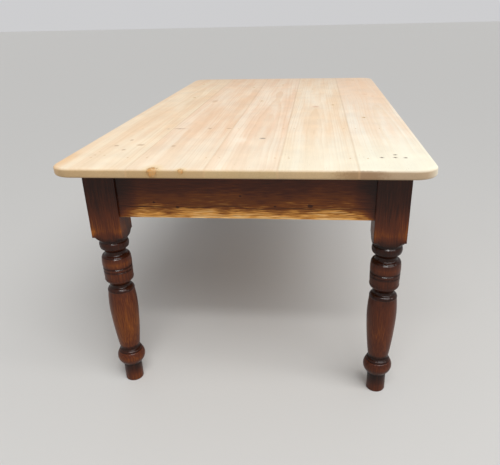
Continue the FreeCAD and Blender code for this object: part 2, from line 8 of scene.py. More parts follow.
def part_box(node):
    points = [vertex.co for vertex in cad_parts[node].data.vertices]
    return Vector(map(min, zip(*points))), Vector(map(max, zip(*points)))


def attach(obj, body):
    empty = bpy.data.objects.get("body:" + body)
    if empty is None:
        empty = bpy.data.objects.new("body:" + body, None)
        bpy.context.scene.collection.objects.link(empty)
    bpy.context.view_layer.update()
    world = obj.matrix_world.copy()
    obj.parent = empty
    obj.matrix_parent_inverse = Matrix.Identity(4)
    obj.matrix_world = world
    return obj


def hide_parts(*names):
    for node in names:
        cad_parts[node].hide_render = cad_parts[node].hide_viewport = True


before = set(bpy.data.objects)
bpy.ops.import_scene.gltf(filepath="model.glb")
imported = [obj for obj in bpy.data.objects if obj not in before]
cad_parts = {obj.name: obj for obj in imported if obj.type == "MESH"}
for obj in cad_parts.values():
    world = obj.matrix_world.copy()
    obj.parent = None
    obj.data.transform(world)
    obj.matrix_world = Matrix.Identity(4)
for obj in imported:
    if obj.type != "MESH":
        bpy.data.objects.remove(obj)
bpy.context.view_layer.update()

# Legs: four pine posts, left square where the rails join them and turned below
# on a lathe. They are stained dark brown and polished: the beads shine, and the
# quirks and necks are painted dark, as painted shade and as old polish gathered there.

MM = 0.001
TURNED_LENGTH = 528 * MM
ARRIS_RADIUS = 2 * MM
ARRIS_WEAR = 2.2 * MM
COLUMNS_PER_FACE = 14
BLOCK_RINGS = 20
POMMEL_RINGS = 9
LEG_QUARTERS = {"near_left": 0, "near_right": 1, "far_right": 2, "far_left": 3}
LEG_TONES = (0, -0.2, -0.05, -0.1)
# How much further along its log each leg was cut than the one before, in millimetres
LEG_STEP = Vector((9, -6, 900))

# What the mortises take: a rail on edge, set back from the leg's face, with a
# tenon that stops short of the rail's top and a short haunch above it
RAIL_DEPTH = 145 * MM
RAIL_THICKNESS = 25 * MM
RAIL_SETBACK = 8 * MM
TENON_THICKNESS = 10 * MM
TENON_LENGTH = 57 * MM
TENON_SHOULDER = 12 * MM
HAUNCH_LENGTH = 12 * MM
HAUNCH_DROP = 30 * MM
PLAY = 0.1 * MM

# Painted shade, with old polish, lies dark on the collar, in both necks, in the
# scribed lines and round the ankle: from and to, as shares of the turned length
SHADE_AND_POLISH_STRETCHES = (
    (0.915, 0.995), (0.861, 0.892), (0.793, 0.801), (0.772, 0.78), (0.645, 0.69), (0.212, 0.258),
)
# Use has rubbed the vase, ball, barrel and toe. The top of the foot, under the
# ball, is painted dark as shade, and the ball is rubbed only high up, leaving its
# underside dark as painted shade: height and half its reach in millimetres, and how much
RUBBED_AND_SHADED_STRETCHES = (
    (221.8, 116.2, 0.3), (94, 19, 0.3), (438.2, 13.2, 0.27), (0, 30, 0.12), (50, 28, -0.5),
)

# Where the tool stood, from the square block down: height as a share of the
# turned length, radius and swell as shares of half the leg's width
TURNING = [
    # The flat under the block's corners, the rounded pommel, quirk and collar
    (1.000, 1.20, 0.06), (0.976, 0.99, 0), (0.972, 0.89, 0), (0.959, 0.875, 0),
    (0.953, 0.935, 0.04), (0.918, 0.92, -0.07),
    # Upper neck, round shoulder, and a barrel with two scribed lines
    (0.884, 0.69, -0.012), (0.874, 0.75, 0.03), (0.866, 0.92, 0), (0.8635, 0.91, 0),
    (0.8595, 0.95, 0.02), (0.800, 0.97, 0), (0.797, 0.94, 0), (0.794, 0.97, 0),
    (0.779, 0.97, 0), (0.776, 0.95, 0), (0.773, 0.97, 0), (0.732, 0.95, 0.06),
    (0.704, 0.84, -0.03),
    # Lower neck, round shoulder, and a vase that tapers to the ankle
    (0.678, 0.68, -0.02), (0.667, 0.73, 0.035), (0.646, 0.91, 0), (0.642, 0.89, 0.052),
    (0.473, 0.95, 0.03), (0.248, 0.70, -0.01),
    # Ankle ring, ball and foot
    (0.233, 0.66, -0.01), (0.228, 0.70, 0.015), (0.218, 0.81, 0), (0.216, 0.775, 0),
    (0.213, 0.785, 0.015), (0.205, 0.88, 0.19), (0.126, 0.67, -0.02), (0.111, 0.64, 0),
    (0.005, 0.64, 0), (0.000, 0.61, 0),
]

leg_low, leg_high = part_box("leg_near_left")
leg_half = (leg_high.x - leg_low.x) / 2
leg_top = leg_high.z


def cut_stretches():
    """The stretches of the turning, each a list of (radius, height) from the top down."""
    stretches = []
    for (top, wide, swell), (low, narrow, _) in zip(TURNING, TURNING[1:]):
        start = Vector((wide * leg_half, top * TURNED_LENGTH))
        end = Vector((narrow * leg_half, low * TURNED_LENGTH))
        chord = end - start
        bulge = abs(swell) * leg_half
        half_turn = 2 * math.atan2(2 * bulge, chord.length)
        steps = max(1, math.ceil(chord.length / (4 * MM)), math.ceil(half_turn / math.radians(4)))
        middle = (start + end) / 2
        outward = Vector((-chord.y, chord.x)).normalized() * math.copysign(1, swell)
        points = []
        for step in range(steps + 1):
            share = 2 * step / steps - 1
            if bulge:
                arc_radius = chord.length / 2 / math.sin(half_turn)
                angle = share * half_turn
                along = chord.normalized() * arc_radius * math.sin(angle)
                rise = outward * (arc_radius * math.cos(angle) - arc_radius + bulge)
                points.append(middle + along + rise)
            else:
                points.append(middle + chord * share / 2)
        # A ring close to each end keeps the arris there crisp under smooth shading
        points.insert(1, points[0].lerp(points[1], 0.1))
        points.insert(-1, points[-1].lerp(points[-2], 0.1))
        stretches.append(points)
    return stretches


def from_radius(points, radius, count):
    """That many points along a line that narrows, from where it has the given radius."""
    first = next(n for n, point in enumerate(points) if point.x <= radius)
    wider, narrower = points[first - 1], points[first]
    share = (wider.x - radius) / (wider.x - narrower.x)
    line = [wider.lerp(narrower, share)] + points[first:]
    lengths = [0.0]
    for one, other in zip(line, line[1:]):
        lengths.append(lengths[-1] + (other - one).length)
    found = []
    for step in range(count):
        wanted = lengths[-1] * step / (count - 1)
        after = next((n for n, length in enumerate(lengths) if length >= wanted), len(line) - 1)
        after = max(after, 1)
        span = max(lengths[after] - lengths[after - 1], 1e-9)
        found.append(line[after - 1].lerp(line[after], (wanted - lengths[after - 1]) / span))
    return found


def square_place(quarter, share, corner_turn, arrises):
    """A place on the block's outline: along a face, or round the arris after it."""
    before, after = arrises[quarter - 1], arrises[quarter]
    if corner_turn is None:
        reach = leg_half - (after if share > 0 else before)
        x, y = leg_half, share * reach
    else:
        x = leg_half - after + after * math.cos(corner_turn)
        y = leg_half - after + after * math.sin(corner_turn)
    return Vector((x, y)) @ Matrix.Rotation(-quarter * math.pi / 2, 2)


def build_mesh(name, *tubes):
    """Closed tubes of faces, each through rows of points that go round it."""
    made = bmesh.new()
    for rows in tubes:
        rings = [[made.verts.new(point) for point in row] for row in rows]
        for upper, lower in zip(rings, rings[1:]):
            for n in range(len(upper)):
                made.faces.new((upper[n - 1], upper[n], lower[n], lower[n - 1]))
        made.faces.new(rings[0])
        made.faces.new(rings[-1])
    bmesh.ops.recalc_face_normals(made, faces=made.faces)
    mesh = bpy.data.meshes.new(name)
    made.to_mesh(mesh)
    made.free()
    piece = bpy.data.objects.new(name, mesh)
    bpy.context.scene.collection.objects.link(piece)
    return piece


def build_box(low, high, name="tool"):
    """A plain box, most often as a tool to cut or join with."""
    corners = ((low[0], low[1]), (high[0], low[1]), (high[0], high[1]), (low[0], high[1]))
    return build_mesh(name, [[Vector((x, y, z)) for x, y in corners] for z in (high[2], low[2])])


def combine(piece, tools, operation):
    """Cut the tools out of a piece, join them to it, or keep what it shares with them."""
    for tool in tools:
        modifier = piece.modifiers.new("combine", "BOOLEAN")
        modifier.operation = operation
        modifier.solver = "EXACT"
        modifier.object = tool
    shown = piece.evaluated_get(bpy.context.evaluated_depsgraph_get())
    mesh = bpy.data.meshes.new_from_object(shown)
    piece.modifiers.clear()
    piece.data = mesh
    for tool in tools:
        bpy.data.objects.remove(tool)


def smooth(piece, angle=32):
    """Shade the piece smooth, with crisp edges where it turns sharper than the angle."""
    piece.data.polygons.foreach_set("use_smooth", [True] * len(piece.data.polygons))
    piece.data.set_sharp_from_angle(angle=math.radians(angle))


def store(piece, name, kind, value_at):
    """A value at every vertex of a piece, for its material to read."""
    attribute = piece.data.attributes.new(name, kind, "POINT")
    field = "value" if kind == "FLOAT" else "vector"
    for vertex, item in zip(piece.data.vertices, attribute.data):
        setattr(item, field, value_at(vertex.co))


def wavering(place, size, seed):
    """Smooth chance from -1 to 1, whose waves are about that size."""
    return noise.noise(Vector(place) / size + Vector((seed * 17.3, seed * 5.1, seed * 9.7)))


stretches = cut_stretches()
pommel = [Vector((1.5 * leg_half, TURNED_LENGTH))] + stretches[0]
below_pommel = [point for stretch in stretches[1:] for point in stretch[1:]]
turned_line = [point for stretch in stretches for point in stretch]


def turned_radius(height):
    """The radius that the lathe left at a height."""
    for upper, lower in zip(turned_line, turned_line[1:]):
        if lower.y <= height < upper.y:
            return lower.x + (upper.x - lower.x) * (height - lower.y) / (upper.y - lower.y)
    return turned_line[-1].x if height <= 0 else leg_half


radii = [turned_radius(step * MM) for step in range(int(TURNED_LENGTH / MM) + 40)]


def recess_at(step):
    """How far a height lies in behind what is within 8 mm of it, and within 26 mm."""
    recess = 0
    for reach, share in ((8, 0.6), (26, 0.4)):
        around = radii[max(0, step - reach):step + reach + 1]
        recess += share * (sum(around) / len(around) - radii[step])
    return recess


recesses = [recess_at(step) for step in range(int(TURNED_LENGTH / MM) + 1)]


def turned_wear_and_shade(place):
    """Painted shade and old polish in the quirks and necks, and rubbed where the turning stands out."""
    recess = recesses[max(0, int(place.z / MM))]
    # Painted shade, with old polish, darkens the recesses and the stretches listed above
    shaded = 0.15 * min(1, abs(recess) / (1.4 * MM)) + max(0, recess) / (6 * MM)
    if any(low < place.z / TURNED_LENGTH < high for low, high in SHADE_AND_POLISH_STRETCHES):
        shaded += 0.4
    rubbed = sum(
        much * max(0, 1 - abs(place.z / MM - middle) / reach)
        for middle, reach, much in RUBBED_AND_SHADED_STRETCHES
    )
    return 0.06 - min(0.7, shaded) + rubbed


def block_wear_and_shade(place, seed):
    """Rubbed low on the block, most at its outer arris; painted shadow darkens it under the top, and it
    is darker just above the pommel.
    """
    above = place.z - TURNED_LENGTH
    edge = min(abs(place.x), abs(place.y)) / leg_half
    outward = max(0, -(place.x + place.y) / (2 * leg_half))
    corner = outward ** 2 * edge ** 2
    patchy = 0.8 + 0.6 * wavering(place, 0.04, seed)
    clear_of_pommel = min(1, above / (18 * MM))
    low_down = max(0, 1 - above / (105 * MM)) ** 1.5
    rubbed = low_down * (0.3 + 0.25 * edge ** 3 + 0.65 * corner) * patchy
    rubbed *= clear_of_pommel * (1 - 0.6 * corner) + 0.6 * corner
    # Painted shadow under the top, and darker just above the pommel
    shaded = 0.42 * min(1, above / (150 * MM)) + 0.35 * (1 - clear_of_pommel)
    return 1.1 * rubbed - shaded + 0.05


def leg_wear_and_shade(place, seed):
    """From -1, deep in a quirk painted dark for shade and old polish, to 1, rubbed through to the wood.
    """
    if place.z < TURNED_LENGTH:
        return turned_wear_and_shade(place) + LEG_TONES[seed]
    return block_wear_and_shade(place, seed) + 0.3 * LEG_TONES[seed]


def build_leg(corner, seed):
    """One leg about its own axis, its mortises facing +X and +Y."""
    face_angle = math.atan2(leg_half - ARRIS_RADIUS, leg_half)
    shares = [
        math.tan(face_angle * (2 * n / COLUMNS_PER_FACE - 1)) / math.tan(face_angle)
        for n in range(COLUMNS_PER_FACE + 1)
    ]
    columns = [
        column
        for quarter in range(4)
        for column in [(quarter, share, None) for share in shares]
        + [(quarter, 0, math.radians(turn)) for turn in (22.5, 45, 67.5)]
    ]

    def arrises_at(height):
        return [
            ARRIS_RADIUS + ARRIS_WEAR * max(0, wavering((edge, 0, height), 0.045, seed + edge))
            for edge in range(4)
        ]

    feet = [square_place(*column, arrises_at(TURNED_LENGTH)) for column in columns]
    pommels = [from_radius(pommel, foot.length, POMMEL_RINGS) for foot in feet]
    rows = []
    for ring in range(BLOCK_RINGS):
        share = ring / BLOCK_RINGS
        row = []
        for column, curve in zip(columns, pommels):
            height = leg_top + (curve[0].y - leg_top) * share
            spot = square_place(*column, arrises_at(height))
            row.append(Vector((spot.x, spot.y, height)))
        rows.append(row)
    ways = [foot.normalized() for foot in feet]
    for ring in range(POMMEL_RINGS):
        rows.append([
            Vector((*(way * curve[ring].x), curve[ring].y)) for way, curve in zip(ways, pommels)
        ])
    for point in below_pommel:
        rows.append([Vector((*(way * point.x), point.y)) for way in ways])
    leg = build_mesh(f"turned_leg_{corner}", rows)

    # Each mortise, and above it the socket for the tenon's haunch, open at the top
    tenon_low = leg_top - RAIL_DEPTH + TENON_SHOULDER
    tenon_high = leg_top - HAUNCH_DROP
    outer = RAIL_SETBACK + (RAIL_THICKNESS - TENON_THICKNESS) / 2 - leg_half
    left, right = outer - PLAY, outer + TENON_THICKNESS + PLAY
    face = leg_half + MM
    mortises = []
    for low, high, depth in (
        (tenon_low - PLAY, tenon_high + PLAY, TENON_LENGTH + MM),
        (tenon_high, leg_top + 5 * MM, HAUNCH_LENGTH + PLAY),
    ):
        back = leg_half - depth
        mortises.append(build_box((back, left, low), (face, right, high)))
        mortises.append(build_box((left, back, low), (right, face, high)))
    combine(leg, mortises, "DIFFERENCE")
    smooth(leg)
    store(leg, "log_place", "FLOAT_VECTOR", lambda at: at / MM + seed * LEG_STEP)
    store(leg, "wear_and_shade", "FLOAT", lambda at: leg_wear_and_shade(at, seed))
    return leg


def linear(colour):
    """An sRGB hex colour as the linear colour that a shader takes."""
    channels = [int(colour[start:start + 2], 16) / 255 for start in (1, 3, 5)]
    curved = [c / 12.92 if c <= 0.04045 else ((c + 0.055) / 1.055) ** 2.4 for c in channels]
    return (*curved, 1)


def add_node(tree, kind, inputs=None, **settings):
    """A node with its settings, and its inputs joined or set; gives its first output."""
    node = tree.nodes.new("ShaderNode" + kind)
    for name, value in settings.items():
        setattr(node, name, value)
    for key, value in (inputs or {}).items():
        usable = [socket for socket in node.inputs if socket.enabled]
        by_name = {socket.name: socket for socket in reversed(usable)}
        socket = by_name[key] if isinstance(key, str) else usable[key]
        if isinstance(value, bpy.types.NodeSocket):
            tree.links.new(value, socket)
        else:
            socket.default_value = value
    return next((socket for socket in node.outputs if socket.enabled), None)


# For a range that eases in and out
SOFTLY = {"interpolation_type": "SMOOTHSTEP"}


def along_grain(add, place, across, along, detail):
    """Chance in patches about so many millimetres across the grain and along it."""
    stretched = add("VectorMath", {0: place, 1: (1 / across, 1 / across, 1 / along)},
                    operation="MULTIPLY")
    return add("TexNoise", {"Vector": stretched, "Scale": 1, "Detail": detail})


def pine_figure(add, place, pith, ring_width, knots, knot_taper=0):
    """The figure of pine at a place in its log, in millimetres with the pith along Z.

    The rings wander and taper as the trunk did, widen in good years, and flow
    round each knot, given as (across, along, radius) from the piece's middle. A
    knot with a taper closes below the face.
    """
    sway, trunk_taper = 22, 0.007
    drift = along_grain(add, place, 240, 700, 2).node.outputs["Color"]
    shift = (-sway / 2 - pith[0], -sway / 2 - pith[1], 0)
    bend = add("VectorMath", {0: drift, 1: (sway, sway, 0), 2: shift}, operation="MULTIPLY_ADD")
    bent = add("VectorMath", {0: place, 1: bend}, operation="ADD")
    flat = add("VectorMath", {0: bent, 1: (1, 1, 0)}, operation="MULTIPLY")
    radius = add("VectorMath", {0: flat}, operation="LENGTH")
    along = add("SeparateXYZ", {0: place}).node.outputs["Z"]
    tapered = add("Math", {0: along, 1: trunk_taper, 2: radius}, operation="MULTIPLY_ADD")

    nearest = None
    for across, length, size in knots:
        scale = Vector((1, knot_taper, 0.72)) / size
        middle = Vector((-across * scale.x, 0, -length * scale.z))
        spot = add("VectorMath", {0: place, 1: scale, 2: middle}, operation="MULTIPLY_ADD")
        distance = add("VectorMath", {0: spot}, operation="LENGTH")
        if nearest is None:
            nearest = distance
        else:
            nearest = add("Math", {0: nearest, 1: distance}, operation="MINIMUM")
    lumpy = add("TexNoise", {"Vector": place, "Scale": 1 / 6, "Detail": 3})
    nearest = add("Math", {0: lumpy, 1: 0.9, 2: nearest}, operation="MULTIPLY_ADD")
    flow = add("MapRange", {"Value": nearest, 1: 0.8, 2: 3.4, 3: 9, 4: 0},
               interpolation_type="SMOOTHERSTEP")
    turned_aside = add("Math", {0: tapered, 1: flow}, operation="ADD")

    # Each year darkens slowly and ends at once, and some years hardly at all
    seasons = add("TexNoise", {"W": turned_aside, "Scale": 1 / 38, "Detail": 1}, noise_dimensions="1D")
    uneven = add("Math", {0: seasons, 1: 14, 2: turned_aside}, operation="MULTIPLY_ADD")
    years = add("Math", {0: uneven, 1: ring_width}, operation="DIVIDE")
    season = add("Math", {0: years}, operation="FRACT")
    year = add("Math", {0: years}, operation="FLOOR")
    vigour = add("TexWhiteNoise", {"W": year}, noise_dimensions="1D")
    latewood = add("MapRange", {"Value": season, 1: 0.25, 2: 0.9}, **SOFTLY)
    winter = add("MapRange", {"Value": season, 1: 1.0, 2: 0.93}, **SOFTLY)
    strength = add("MapRange", {"Value": vigour, 3: 0.25, 4: 1})
    for share in (winter, strength):
        latewood = add("Math", {0: latewood, 1: share}, operation="MULTIPLY")

    # Real fibres are far too fine to show, and are drawn 1.8 mm wide
    fibres = along_grain(add, place, 1.8, 75, 4)
    tone = along_grain(add, place, 45, 520, 3)
    figure = {"latewood": latewood, "fibres": fibres, "tone": tone}
    for name, start, end in (("knot", 1.7, 1.15), ("rim", 1.1, 1.4), ("halo", 3.2, 1.2)):
        figure[name] = add("MapRange", {"Value": nearest, 1: start, 2: end}, **SOFTLY)
    return figure


def new_material(name):
    """An empty node material, and what adds a node to it."""
    material = bpy.data.materials.new(name)
    material.use_nodes = True
    material.node_tree.nodes.clear()
    return material, partial(add_node, material.node_tree)


def stained_pine(name, pith, ring_width, knots, worn_colour, streaked=0.15, dark_line=None):
    """Pine under a dark brown spirit stain and polish.

    Wear, with painted shade, runs from quirks painted dark for shade and old polish to
    rubbed edges where the golden wood shows, and streaked says how unevenly the stain
    took. The last argument, if given, places one wavering dark line that runs the
    length, at that place across.
    """
    material, add = new_material(name)
    place = add("Attribute", attribute_name="log_place").node.outputs["Vector"]
    figure = pine_figure(add, place, pith, ring_width, knots)
    # The stored wear also carries painted shade: its low values are painted dark
    wear_and_shade = add("Attribute", attribute_name="wear_and_shade").node.outputs["Fac"]
    # The finest real streaks are too thin to show, and are drawn 2.2 mm wide
    patchy = along_grain(add, place, 26, 90, 4)
    streaky = along_grain(add, place, 4, 70, 3)
    fine_streaky = along_grain(add, place, 2.2, 38, 2)
    chance = add("Math", {0: patchy, 1: streaky}, operation="ADD")
    chance = add("Math", {0: fine_streaky, 1: 1.6, 2: chance}, operation="MULTIPLY_ADD")
    lively = add("MapRange", {"Value": wear_and_shade, 1: 0.3, 2: 0.8, 3: streaked, 4: 1.3})
    uneven = add("Math", {0: chance, 1: 1.8}, operation="SUBTRACT")
    # Handling wear together with painted shade, made uneven where the stain took unevenly
    handled_and_shaded = add("Math", {0: uneven, 1: lively, 2: wear_and_shade}, operation="MULTIPLY_ADD")

    # From painted shade and old polish in the quirks, and painted shadow under the top
    # and beside the legs, through the stain, to wood rubbed bare
    shades = [(-0.8, "#1D0B05"), (-0.35, "#32150A"), (0.1, "#522510"), (0.5, "#7A4111"),
              (0.95, worn_colour), (1.5, "#F0C688")]
    layers = [
        (add("MapRange", {"Value": handled_and_shaded, 1: start, 2: end}), shade)
        for (start, _), (end, shade) in zip(shades, shades[1:])
    ]
    worn = add("MapRange", {"Value": handled_and_shaded, 1: 0.3, 2: 0.9, 3: 0.2, 4: 0.6})
    late = add("Math", {0: figure["latewood"], 1: worn}, operation="MULTIPLY")
    layers.append((late, "#4A220C"))
    if dark_line is not None:
        # One dark wavering line along the length, at a place across
        across = add("SeparateXYZ", {0: place})
        swing = add("TexNoise", {"W": across.node.outputs["Z"], "Scale": 1 / 130, "Detail": 2},
                    noise_dimensions="1D")
        swing = add("Math", {0: swing, 1: 20, 2: -10 - dark_line}, operation="MULTIPLY_ADD")
        away = add("Math", {0: across, 1: swing}, operation="ADD")
        away = add("Math", {0: away}, operation="ABSOLUTE")
        line = add("MapRange", {"Value": away, 1: 2.2, 2: 0.6, 4: 0.85}, **SOFTLY)
        for share in (patchy, 1.6):
            line = add("Math", {0: line, 1: share}, operation="MULTIPLY")
        layers.append((line, "#30150A"))
    knot = add("Math", {0: figure["knot"], 1: 0.85}, operation="MULTIPLY")
    layers.append((knot, "#2E1206"))
    colour = linear(shades[0][1])
    for share, shade in layers:
        colour = add("Mix", {0: share, "A": colour, "B": linear(shade)}, data_type="RGBA")
    lit = add("MapRange", {"Value": figure["fibres"], 1: 0.3, 2: 0.7, 3: 0.88, 4: 1.1})
    colour = add("VectorMath", {0: colour, 1: lit}, operation="MULTIPLY")

    dulled = add("MapRange", {"Value": handled_and_shaded, 1: -0.8, 2: 0.9, 3: 0.3, 4: 0.5})
    rough = add("Math", {0: figure["fibres"], 1: 0.12, 2: dulled}, operation="MULTIPLY_ADD")
    relief = add("Math", {0: figure["latewood"], 1: 0.5, 2: figure["fibres"]}, operation="MULTIPLY_ADD")
    bump = add("Bump", {"Strength": 0.35, "Distance": 0.2 * MM, "Height": relief})
    shader = add("BsdfPrincipled", {
        "Base Color": colour, "Roughness": rough, "Normal": bump, "IOR": 1.5,
        "Specular IOR Level": 0.05, "Coat Weight": 0.36, "Coat Roughness": 0.1,
    })
    add("OutputMaterial", {"Surface": shader})
    return material


leg_finish = stained_pine(
    "dark_stained_polished_pine", pith=(-70, 34), ring_width=5.5,
    knots=[(-20, LEG_STEP.z + 585, 5), (15, 3 * LEG_STEP.z + 650, 5)],
    worn_colour="#B0651F", streaked=0.45,
)
for seed, (corner, quarters) in enumerate(LEG_QUARTERS.items()):
    low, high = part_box(f"leg_{corner}")
    leg = build_leg(corner, seed)
    leg.data.materials.append(leg_finish)
    leg.location = ((low.x + high.x) / 2, (low.y + high.y) / 2, 0)
    leg.rotation_euler = (0, 0, quarters * math.pi / 2)
    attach(leg, "root")
    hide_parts(f"leg_{corner}")

# Rails: pine planks on edge between the legs, with haunched tenons. Stained with
# the legs on the outside and left bare within. The end rail's lower edge is
# rubbed through to golden wood by knees and hands. Each rail is painted darker
# under the top and beside the legs, as painted shadow.

EASED_ARRIS = 0.6 * MM
# How far apart the rails lie in the log that they were cut from, in millimetres
RAIL_STEP = 3000
# How worn a rail is, from its lower edge up, and painted darker as shadow towards
# the top under its overhang, as (millimetres, wear)
END_RAIL_WEAR_AND_SHADE = [(-12, 1.2), (6, 0.95), (20, 0.8), (29, 0.5), (62, 0.3), (90, 0.02), (145, -0.25)]
SIDE_RAIL_WEAR_AND_SHADE = [(-12, 0.8), (12, 0.35), (40, 0.05), (85, -0.1), (145, -0.3)]

# The cross bearers' dovetails, which stand in the side rails
BEARER_FROM_MIDDLE = 438 * MM
BEARER_DEPTH = 32 * MM
DOVETAIL_LENGTH = 17 * MM
DOVETAIL_TIP = 54 * MM
DOVETAIL_ROOT = 44 * MM


def rail_wear_and_shade(at, shoulder, at_end, seed):
    """Painted shadow under the top and beside the legs, and rubbed along the lower edge."""
    along = (at.x, 0, 0)
    swing = 9 * MM * wavering(along, 0.16, seed) + 3 * MM * wavering(along, 0.03, seed)
    height = at.z + swing
    to_leg = shoulder - abs(at.x)
    # Painted shadow beside the legs, blended on the end rail between a low and a high shape
    shadow = max(0, 1 - to_leg / (62 * MM))
    if at_end:
        low_shadow = 1.7 * max(0, 1 - to_leg / (75 * MM)) ** 1.9
        high_shadow = 1.2 * shadow ** 0.8
        up = min(1, max(0, (height - 22 * MM) / (16 * MM)))
        shadow = low_shadow + (high_shadow - low_shadow) * up
    stages = END_RAIL_WEAR_AND_SHADE if at_end else SIDE_RAIL_WEAR_AND_SHADE
    worn = stages[-1][1]
    for (low, more), (high, less) in reversed(list(zip(stages, stages[1:]))):
        if height < high * MM:
            worn = more + (less - more) * (height - low * MM) / ((high - low) * MM)
    arris = max(0, 1 - at.z / (3.5 * MM)) * (0.4 + 0.5 * wavering(along, 0.045, seed + 7))
    return worn + arris - 0.55 * shadow


def build_rail(name, shoulder, at_end, seed):
    """A rail along X with its outer face at Y zero and its lower edge at Z zero."""
    stations = round(2 * shoulder / (12 * MM))
    rows = []
    for station in range(stations + 1):
        x = shoulder * (2 * station / stations - 1)
        rub = 1 + max(0, wavering((x, 0, 0), 0.05, seed)) * (1.8 if at_end else 0.8)
        arris = ARRIS_RADIUS * rub
        outline = []
        for turn in range(5):
            angle = math.radians(270 - 22.5 * turn)
            outline.append((arris + arris * math.cos(angle), arris + arris * math.sin(angle)))
        flat = RAIL_DEPTH - arris - EASED_ARRIS
        outline += [(0, arris + flat * step / 16) for step in range(1, 17)]
        outline += [
            (EASED_ARRIS, RAIL_DEPTH), (RAIL_THICKNESS - EASED_ARRIS, RAIL_DEPTH),
            (RAIL_THICKNESS, RAIL_DEPTH - EASED_ARRIS), (RAIL_THICKNESS, EASED_ARRIS),
            (RAIL_THICKNESS - EASED_ARRIS, 0),
        ]
        rows.append([Vector((x, y, z)) for y, z in outline])
    rail = build_mesh(name, rows)
    near = (RAIL_THICKNESS - TENON_THICKNESS) / 2
    far = near + TENON_THICKNESS
    end, haunch = shoulder + TENON_LENGTH, shoulder + HAUNCH_LENGTH
    tenons = build_box((-end, near, TENON_SHOULDER), (end, far, RAIL_DEPTH - HAUNCH_DROP))
    haunches = build_box((-haunch, near, RAIL_DEPTH / 2), (haunch, far, RAIL_DEPTH - 0.01 * MM))
    combine(rail, [tenons, haunches], "UNION")
    return rail


def cut_sockets(rail):
    """The dovetail sockets for the cross bearers, open at the top."""
    tip, root = DOVETAIL_TIP / 2 + PLAY, DOVETAIL_ROOT / 2 + PLAY
    back, face = RAIL_THICKNESS - DOVETAIL_LENGTH - PLAY, RAIL_THICKNESS + MM
    for x in (-BEARER_FROM_MIDDLE, BEARER_FROM_MIDDLE):
        outline = ((x - tip, back), (x + tip, back), (x + root, face), (x - root, face))
        heights = (RAIL_DEPTH + MM, RAIL_DEPTH - BEARER_DEPTH - PLAY)
        socket = build_mesh("tool", [[Vector((*spot, z)) for spot in outline] for z in heights])
        socket.matrix_world = rail.matrix_basis
        combine(rail, [socket], "DIFFERENCE")


def bare_wood(name, pith, early, late, turn=None):
    """Sawn wood without finish: dull, with fine saw marks across the grain.

    A turn lays the log's length along a piece that stores no place of its own.
    """
    material, add = new_material(name)
    if turn is None:
        place = add("Attribute", attribute_name="log_place").node.outputs["Vector"]
    else:
        spot = add("TexCoord").node.outputs["Object"]
        place = add("Mapping", {"Vector": spot, "Rotation": turn, "Scale": (1 / MM,) * 3})
    figure = pine_figure(add, place, pith, 5, [(8, 60, 5), (-12, -330, 6)])
    colour = linear(early)
    for part, shade in (("tone", "#A98357"), ("latewood", late), ("knot", "#5A3218")):
        colour = add("Mix", {0: figure[part], "A": colour, "B": linear(shade)}, data_type="RGBA")
    lit = add("MapRange", {"Value": figure["fibres"], 1: 0.3, 2: 0.7, 3: 0.82, 4: 1.12})
    colour = add("VectorMath", {0: colour, 1: lit}, operation="MULTIPLY")
    # The saw's real marks are finer, and are drawn 9 mm apart so that they show
    saw = add("TexWave", {"Vector": place, "Scale": 1 / 9, "Distortion": 2.5, "Detail": 2},
              bands_direction="Z")
    relief = add("Math", {0: saw, 1: 0.6, 2: figure["fibres"]}, operation="MULTIPLY_ADD")
    bump = add("Bump", {"Strength": 0.6, "Distance": 0.4 * MM, "Height": relief})
    rough = add("MapRange", {"Value": figure["fibres"], 3: 0.62, 4: 0.85})
    shader = add("BsdfPrincipled", {
        "Base Color": colour, "Roughness": rough, "Normal": bump, "IOR": 1.5,
    })
    add("OutputMaterial", {"Surface": shader})
    return material


def finish_rail(rail, shoulder, at_end, step):
    """Stain outside and on the edges, and bare wood on the inner face and the tenons."""
    smooth(rail)
    for face in rail.data.polygons:
        bare = face.normal.y > 0.5 or abs(face.center.x) > shoulder + MM
        face.material_index = 1 if bare else 0
    offset = Vector((0, 0, RAIL_STEP * step))
    store(rail, "log_place", "FLOAT_VECTOR",
          lambda at: Vector(((at.z - RAIL_DEPTH / 2) / MM, at.y / MM, at.x / MM)) + offset)
    store(rail, "wear_and_shade", "FLOAT", lambda at: rail_wear_and_shade(at, shoulder, at_end, step))
    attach(rail, "root")


end_rail_finish = stained_pine(
    "worn_stained_end_rail_pine", pith=(-18, 95), ring_width=5,
    knots=[
        (-27, -252, 3), (-40, -186, 3.5), (-33, 182, 5), (-35, 86, 2.5), (-6, -9, 2.5),
        (-20, RAIL_STEP - 160, 5), (14, RAIL_STEP + 120, 4),
    ],
    worn_colour="#DB9A48", streaked=0.5, dark_line=-40,
)
side_rail_finish = stained_pine(
    "stained_side_rail_pine", pith=(12, 88), ring_width=5.5,
    knots=[
        (-22, 2 * RAIL_STEP - 480, 8), (10, 2 * RAIL_STEP - 60, 6), (-35, 2 * RAIL_STEP + 390, 7),
        (15, 3 * RAIL_STEP - 300, 7), (-30, 3 * RAIL_STEP + 90, 8), (5, 3 * RAIL_STEP + 520, 6),
    ],
    worn_colour="#A96A2C",
)
AGED_PINE = {"early": "#B98F5F", "late": "#7F5630"}
inner_finish = bare_wood("bare_rail_inner_pine", (-18, 95), **AGED_PINE)
leg_x, leg_y = abs(leg_low.x + leg_half), abs(leg_low.y + leg_half)
